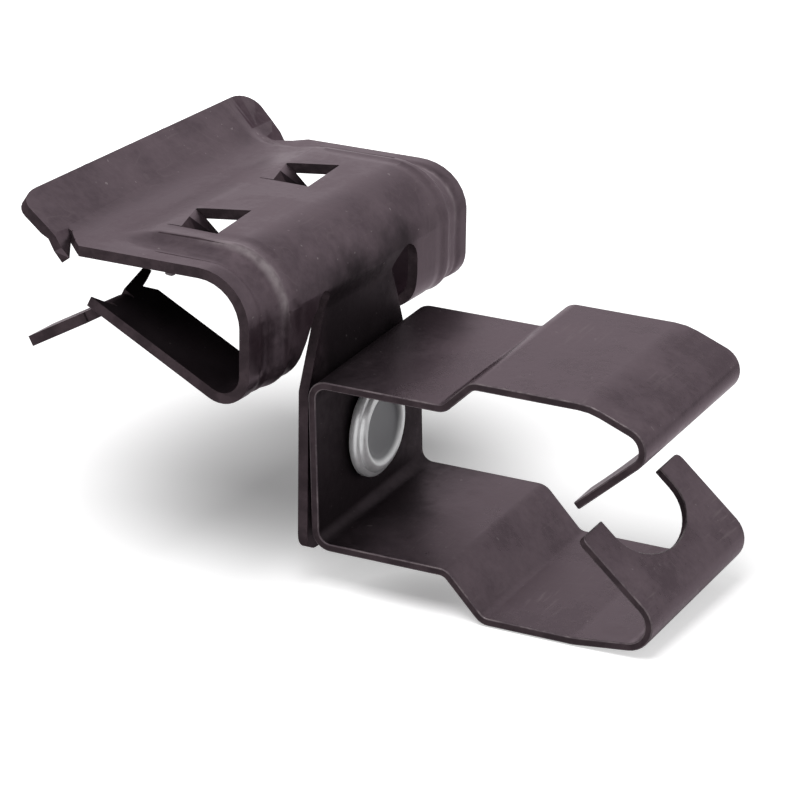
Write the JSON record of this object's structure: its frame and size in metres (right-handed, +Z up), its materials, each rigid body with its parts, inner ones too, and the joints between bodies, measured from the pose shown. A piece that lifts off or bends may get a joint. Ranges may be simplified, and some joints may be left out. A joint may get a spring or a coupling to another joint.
{
  "type": "conduit clip",
  "caption": "Spring steel clip that hammers onto a beam flange and carries a snap-close conduit clip on a riveted swivel tab.",
  "frame": {"origin": "seat under the top plate, on the underside of its raised panel, in the middle of the clip's width", "axes": "+Z up, with the clip hanging on a level flange; +X from the flange lip towards the conduit's mouth; +Y along the flange's edge and the conduit"},
  "size_m": [0.0725, 0.0514, 0.0442],
  "materials": {
    "flange_clip_steel": "dark oiled phosphate on spring steel, satin",
    "conduit_clip_steel": "dark oiled phosphate on spring steel, satin",
    "rivet_zinc": "bright zinc plate"
  },
  "bodies": {
    "beam_clip": {"flange_clip": "flange_clip_steel", "rivet": "rivet_zinc"},
    "swivel_clip": {"conduit_clip": "conduit_clip_steel"}
  },
  "joints": [
    {"name": "rivet_swivel", "type": "hinge", "parent": "beam_clip", "child": "swivel_clip", "pos_m": [0.0107, 0, -0.0242], "axis": [1, 0, 0], "continuous": true}
  ]
}
